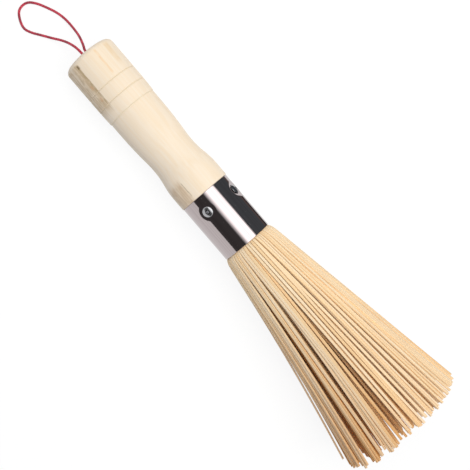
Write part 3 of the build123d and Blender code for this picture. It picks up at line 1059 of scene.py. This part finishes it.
class BRUSH_OT_strips(Operator):
    """Pack and spread the rings of split bamboo strips"""

    bl_idname = "palm_brush.strips"
    bl_label = "Bamboo Strips"

    def execute(self, context):
        sizes, ferrule = context.scene.brush_strips, context.scene.brush_ferrule
        ferrule_end = context.scene.brush_handle.length + ferrule.length
        bamboo = split_bamboo(sizes, ferrule_end)
        for ring, names in enumerate(strip_rings()):
            for sector, name in enumerate(names):
                points, faces, fields = strip_bundle(sizes, ferrule, ring, sector, len(names))
                piece(
                    name.replace("strip_ring", "bamboo_strips"), points + ferrule_end * along, faces,
                    bamboo, "brush", [name], fields=fields,
                )
        return {"FINISHED"}


# The cord

# Route of the free loop, in millimetres: along and aside from the hole's mouth, and above the table
CORD_ROUTE = (
    (1.0, 1.05, 15.04), (-2.5, 0.3, 14.74), (-5.6, 1.9, 13.5), (-10.8, 3.4, 9.9),
    (-14.9, 3.8, 6.3), (-20.0, 4.0, 3.1), (-25.2, 3.7, 1.3), (-30.4, 2.4, 0.75),
    (-35.8, -0.1, 0.75), (-40.5, -2.5, 0.75), (-44.6, -6.3, 0.75), (-44.4, -12.0, 0.75),
    (-40.6, -15.1, 0.75), (-34.9, -17.2, 0.75), (-30.4, -15.3, 0.75), (-25.6, -11.8, 1.3),
    (-20.7, -8.6, 3.1), (-15.8, -5.1, 6.3), (-11.3, -3.0, 9.9), (-6.8, -1.8, 13.1),
    (-2.5, -1.6, 14.74), (1.0, -1.05, 15.04),
)


def cord_line():
    """Points along the smooth spline that has the route as its control points."""
    curve = bpy.data.curves.new("cord_route", "CURVE")
    curve.dimensions = "3D"
    spline = curve.splines.new("NURBS")
    spline.points.add(len(CORD_ROUTE) - 1)
    for point, (x, y, z) in zip(spline.points, CORD_ROUTE):
        point.co = (mouth[0] + x * MM, mouth[1] + y * MM, z * MM, 1)
    spline.order_u = 3
    spline.use_endpoint_u = True
    spline.resolution_u = 36
    obj = new_object("cord_route", curve)
    bpy.context.view_layer.update()
    line = bpy.data.meshes.new_from_object(obj)
    points = np.array([vertex.co for vertex in line.vertices])
    bpy.data.objects.remove(obj)
    bpy.data.curves.remove(curve)
    bpy.data.meshes.remove(line)
    return points


def carried_frames(points):
    """Tangents and two normals along a line: each normal is the last one, turned as little as the
    line turns, so that the tube doesn't twist."""
    tangents = np.gradient(points, axis=0)
    tangents /= np.linalg.norm(tangents, axis=1, keepdims=True)
    normal = np.cross(tangents[0], (0, 0, 1))
    normals = []
    for tangent in tangents:
        normal = normal - tangent * (normal @ tangent)
        normal = normal / np.linalg.norm(normal)
        normals.append(normal)
    normals = np.array(normals)
    return tangents, normals, np.cross(tangents, normals)


class BRUSH_OT_cord(Operator):
    """Braid the red hanging cord along its route"""

    bl_idname = "palm_brush.cord"
    bl_label = "Hanging Cord"

    def execute(self, context):
        sizes = context.scene.brush_cord
        line = cord_line()
        run = np.concatenate(([0], np.cumsum(np.linalg.norm(np.diff(line, axis=0), axis=1))))
        tangents, normals, binormals = carried_frames(line)
        sides = 24
        angle = round_turn(sides)
        # Two sets of four yarns wind opposite ways, and the higher one shows; the crown also sets the cord's
        # painted light and shade
        wind = TURN * run[:, None] / sizes.yarn_pitch
        crown = np.maximum(np.cos(4 * angle + wind), np.cos(4 * angle - wind)).clip(0, 1)
        radius = sizes.diameter / 2 + sizes.relief * (crown - 0.5)
        points = (
            line[:, None, :]
            + radius[..., None] * np.cos(angle)[..., None] * normals[:, None, :]
            + radius[..., None] * np.sin(angle)[..., None] * binormals[:, None, :]
        )
        points[..., 2] = points[..., 2].clip(0.01 * MM, None)
        faces = quads(len(line), sides).tolist() + ends(len(line), sides)
        cord = piece(
            "red_cord", points.reshape(-1, 3), faces, braided_yarn(sizes),
            "loop", ["hanging_loop"], crease=80.0, fields={"crown": crown.ravel()},
        )
        return {"FINISHED"}


class BRUSH_OT_inner_pieces(Operator):
    """Give the pieces inside the brush their own finishes"""

    bl_idname = "palm_brush.inner_pieces"
    bl_label = "Inner Pieces"

    def execute(self, context):
        glue = set_glue()
        finishes = {
            "cord_glue": glue,
            "strip_glue": glue,
            "centre_wedge": whittled_wood(),
            "cord_tails": bpy.data.materials["braided_polyester"],
        }
        for name, material in finishes.items():
            mesh = frame["nodes"][name].data
            mesh.materials.clear()
            mesh.materials.append(material)
        return {"FINISHED"}


# The stage

# Lamps: degrees from straight up, distance from the brush, and size along and across
LAMPS = {"softbox": (16, 0.75, (0.9, 0.42)), "side_lamp": (80, 0.7, (0.7, 0.3))}
# How far the cards for reflections reach along the brush, from the middle of the ferrule, and how far
# away the high ones hang
WHOLE_BRUSH = (-0.8, 0.8)
PAST_RIVET = (-0.001, 0.8)
CARD_DISTANCE = 0.62
# Edges of the low cards: degrees from straight up, and distance
LOW_EDGES = ((110, 0.0709), (113.5, 0.0607), (116.6, 0.0541), (125, 0.0424))
# The softbox's face: degrees over which its soft edge runs, and how bright it is on either side
SOFT_EDGE = (-13, 10)
SOFTBOX_GLOW = (0.06, 2.6)
# The floor is lifted to white for the camera: its own share, what is added, and where plain white takes
# over from the shadow, from the brush's middle
FLOOR_SHARE = 0.15
FLOOR_LIFT = 0.88
FLOOR_FADE = (0.16, 0.3)
FLOOR_HALF = 1.5


def stage_surface(name, points, faces, material):
    """A surface of the stage, which isn't part of the brush."""
    mesh = bpy.data.meshes.new(name)
    mesh.from_pydata(points.tolist(), [], faces)
    mesh.materials.append(material)
    obj = new_object(name, mesh)
    return obj


def bent_card(middle, sweep, span):
    """A card bent round the brush's axis: sweep is a list of (degrees from straight up, distance),
    and span is where it starts and ends along the brush."""
    sweep = np.asarray(sweep, float)
    points = middle + around(np.array([span]), sweep[:, 1:], np.radians(sweep[:, :1]))
    row = np.arange(len(sweep) - 1)
    faces = np.stack((2 * row, 2 * row + 1, 2 * row + 3, 2 * row + 2), -1)
    return points.reshape(-1, 3), faces.tolist()


def bare_tree(owner):
    """The node tree of a material or a world, with nothing in it."""
    owner.use_nodes = True
    owner.node_tree.nodes.clear()
    return owner.node_tree


def glow(name, inputs):
    """A material of the stage that only shines. inputs are those of its emission, or a function of the
    tree that gives them."""
    material = bpy.data.materials.new(name)
    material.cycles.emission_sampling = "NONE"
    tree = bare_tree(material)
    shine = add(tree, "Emission", **(inputs(tree) if callable(inputs) else inputs))
    add(tree, "OutputMaterial", shine)
    return material


def seen_directly(tree):
    """1 for what the camera sees, directly or through a mirror or glass."""
    path = add(tree, "LightPath").outputs
    mirrored = add(tree, "Math", path["Is Camera Ray"], path["Is Glossy Ray"], operation="ADD")
    return add(tree, "Math", mirrored, path["Is Transmission Ray"], operation="ADD", use_clamp=True)


def floor_material():
    """White paper floor: matt, and lifted to paper white for the camera with a soft shadow left."""
    material = bpy.data.materials.new("white_floor")
    material.cycles.emission_sampling = "NONE"
    tree = bare_tree(material)
    paper = add(tree, "BsdfDiffuse", linear("#EDEDED"))
    dim = add(tree, "BsdfDiffuse", (FLOOR_SHARE,) * 3)
    lifted = add(tree, "AddShader", dim, add(tree, "Emission", Strength=FLOOR_LIFT))
    place = add(tree, "TexCoord").outputs["Object"]
    distance = add(tree, "VectorMath", place, operation="LENGTH").outputs["Value"]
    away = add(tree, "MapRange", distance, *FLOOR_FADE, interpolation_type="SMOOTHSTEP")
    shown = add(tree, "MixShader", away, lifted, add(tree, "Emission", Strength=1.0))
    add(tree, "OutputMaterial", add(tree, "MixShader", seen_directly(tree), paper, shown))
    return material


def lamp(name, target, level, tint):
    """A soft area lamp that gives a white surface facing it the given share of full white.

    A lamp of P watts at distance d gives P / (pi d^2) to a surface facing it, and full white takes pi.
    """
    degrees, distance, size = LAMPS[name]
    data = bpy.data.lights.new(name, "AREA")
    data.shape = "RECTANGLE"
    data.color = tint
    data.size, data.size_y = size
    data.energy = level * (math.pi * distance) ** 2
    back = around(0.0, 1.0, math.radians(degrees))
    right = np.cross(aside, back)
    right /= np.linalg.norm(right)
    axes = np.array((right, np.cross(back, right), back)).T
    obj = new_object(name, data)
    obj.matrix_world = Matrix.Translation(target + distance * back) @ Matrix(axes.tolist()).to_4x4()
    obj.visible_camera = False
    obj.visible_glossy = False


def place_camera(sizes):
    """The camera, leaning towards the tips and rolled so that the brush runs down the picture."""
    cos_lean, sin_lean = math.cos(sizes.camera_lean), math.sin(sizes.camera_lean)
    cos_roll, sin_roll = math.cos(sizes.camera_roll), math.sin(sizes.camera_roll)
    level_along = np.array((cos_lean, 0, sin_lean))
    right = cos_roll * level_along + sin_roll * aside
    top = cos_roll * aside - sin_roll * level_along
    axes = np.array((right, top, (-sin_lean, 0, cos_lean))).T
    place = mouth + (sizes.camera_reach, sizes.camera_shift, sizes.camera_height)
    camera = new_object("camera", bpy.data.cameras.new("camera"))
    camera.data.lens = sizes.focal_length
    camera.data.sensor_width = sizes.sensor_width
    camera.matrix_world = Matrix.Translation(place) @ Matrix(axes.tolist()).to_4x4()
    return camera


def white_room(sizes):
    """A world that fills in light from all round, and looks white where it is seen directly."""
    world = bpy.data.worlds.new("white_room")
    tree = bare_tree(world)
    seen = seen_directly(tree)
    strength = add(tree, "MapRange", seen, 0.0, 1.0, sizes.fill_share, 1.0)
    tint = add(tree, "MixRGB", seen, sizes.cool_light, (1.0, 1.0, 1.0))
    add(tree, "OutputWorld", add(tree, "Background", tint, strength))
    return world


def hang_cards(middle):
    """Hangs cards that only mirrors see: the softbox's face, with one soft edge, between dark flags.

    The low ones come in towards the brush, so that the ferrule's lowest side mirrors them.
    """

    def soft_edge(tree):
        """The strength of the softbox's face, by the angle round the brush."""
        place = add(tree, "TexCoord").outputs["Object"]
        off = add(tree, "VectorMath", place, (-middle).tolist(), operation="ADD")
        edge, levels = np.radians(SOFT_EDGE), SOFTBOX_GLOW
        angle = angle_round(tree, off)[1]
        bright = add(tree, "MapRange", angle, *edge, *levels, interpolation_type="SMOOTHSTEP")
        return {"Strength": bright}

    def hung(start, end, steps):
        """Where a card runs from one angle to another at the usual distance."""
        return [(degrees, CARD_DISTANCE) for degrees in np.linspace(start, end, steps)]

    dark, grey, warm_grey = (
        {"Color": linear(tint), "Strength": 1.0} for tint in ("#484646", "#565C60", "#7C6660")
    )
    cards = {
        "softbox_face": (soft_edge, hung(-14, 43, 20), WHOLE_BRUSH),
        "left_flag": (dark, hung(-63, -14, 12), WHOLE_BRUSH),
        "right_flag": (grey, [*hung(47, 87, 12), LOW_EDGES[0]], WHOLE_BRUSH),
        "skirting": (warm_grey, LOW_EDGES[:2], WHOLE_BRUSH),
        "low_flag": (dark, LOW_EDGES[1:3], WHOLE_BRUSH),
        "floor_flag": (dark, LOW_EDGES[2:], PAST_RIVET),
    }
    for name, (shine, sweep, span) in cards.items():
        card = stage_surface(name, *bent_card(middle, sweep, span), glow(name, shine))
        for rays in ("camera", "diffuse", "transmission", "shadow"):
            setattr(card, "visible_" + rays, False)


class BRUSH_OT_stage(Operator):
    """Set the camera, the lamps, the reflection cards and the white floor"""

    bl_idname = "palm_brush.stage"
    bl_label = "Stage"

    def execute(self, context):
        sizes, scene = context.scene.brush_stage, context.scene
        scene.camera = place_camera(sizes)
        scene.view_settings.view_transform = "Standard"
        # A softbox from above on the bright side, and a lower lamp on that side
        middle = mouth + sizes.lit_place * along
        lamp("softbox", middle, sizes.key_share, sizes.warm_light)
        lamp("side_lamp", middle, sizes.side_share, sizes.warm_light)
        scene.world = white_room(sizes)
        corners = FLOOR_HALF * np.array([(-1, -1, 0), (1, -1, 0), (1, 1, 0), (-1, 1, 0)])
        stage_surface("floor", corners, [[0, 1, 2, 3]], floor_material())
        hang_cards(middle)
        return {"FINISHED"}


class BRUSH_PT_pieces(Panel):
    """Lists the brush's pieces, in the order in which they are built"""

    bl_idname = "BRUSH_PT_pieces"
    bl_label = "Palm Brush"
    bl_space_type = "VIEW_3D"
    bl_region_type = "UI"
    bl_category = "Palm Brush"

    def draw(self, context):
        for operator in OPERATORS:
            self.layout.operator(operator.bl_idname)


SIZES = {
    "brush_handle": HandleSizes,
    "brush_ferrule": FerruleSizes,
    "brush_strips": StripSizes,
    "brush_cord": CordSizes,
    "brush_stage": StageSizes,
}
OPERATORS = (
    BRUSH_OT_stage,
    BRUSH_OT_cord,
    BRUSH_OT_handle,
    BRUSH_OT_ferrule,
    BRUSH_OT_rivets,
    BRUSH_OT_strips,
    BRUSH_OT_inner_pieces,
)


def register():
    """Adds the sizes, the operators and the panel to Blender."""
    for name, group in SIZES.items():
        bpy.utils.register_class(group)
        setattr(bpy.types.Scene, name, PointerProperty(type=group))
    for operator in OPERATORS:
        bpy.utils.register_class(operator)
    bpy.utils.register_class(BRUSH_PT_pieces)


def unregister():
    """Takes them away again."""
    bpy.utils.unregister_class(BRUSH_PT_pieces)
    for operator in reversed(OPERATORS):
        bpy.utils.unregister_class(operator)
    for name, group in reversed(SIZES.items()):
        delattr(bpy.types.Scene, name)
        bpy.utils.unregister_class(group)


def main():
    """Builds every piece in order."""
    register()
    bpy.ops.palm_brush.stage()
    bpy.ops.palm_brush.cord()
    bpy.ops.palm_brush.handle()
    bpy.ops.palm_brush.ferrule()
    bpy.ops.palm_brush.rivets()
    bpy.ops.palm_brush.strips()
    bpy.ops.palm_brush.inner_pieces()


if __name__ == "__main__":
    main()
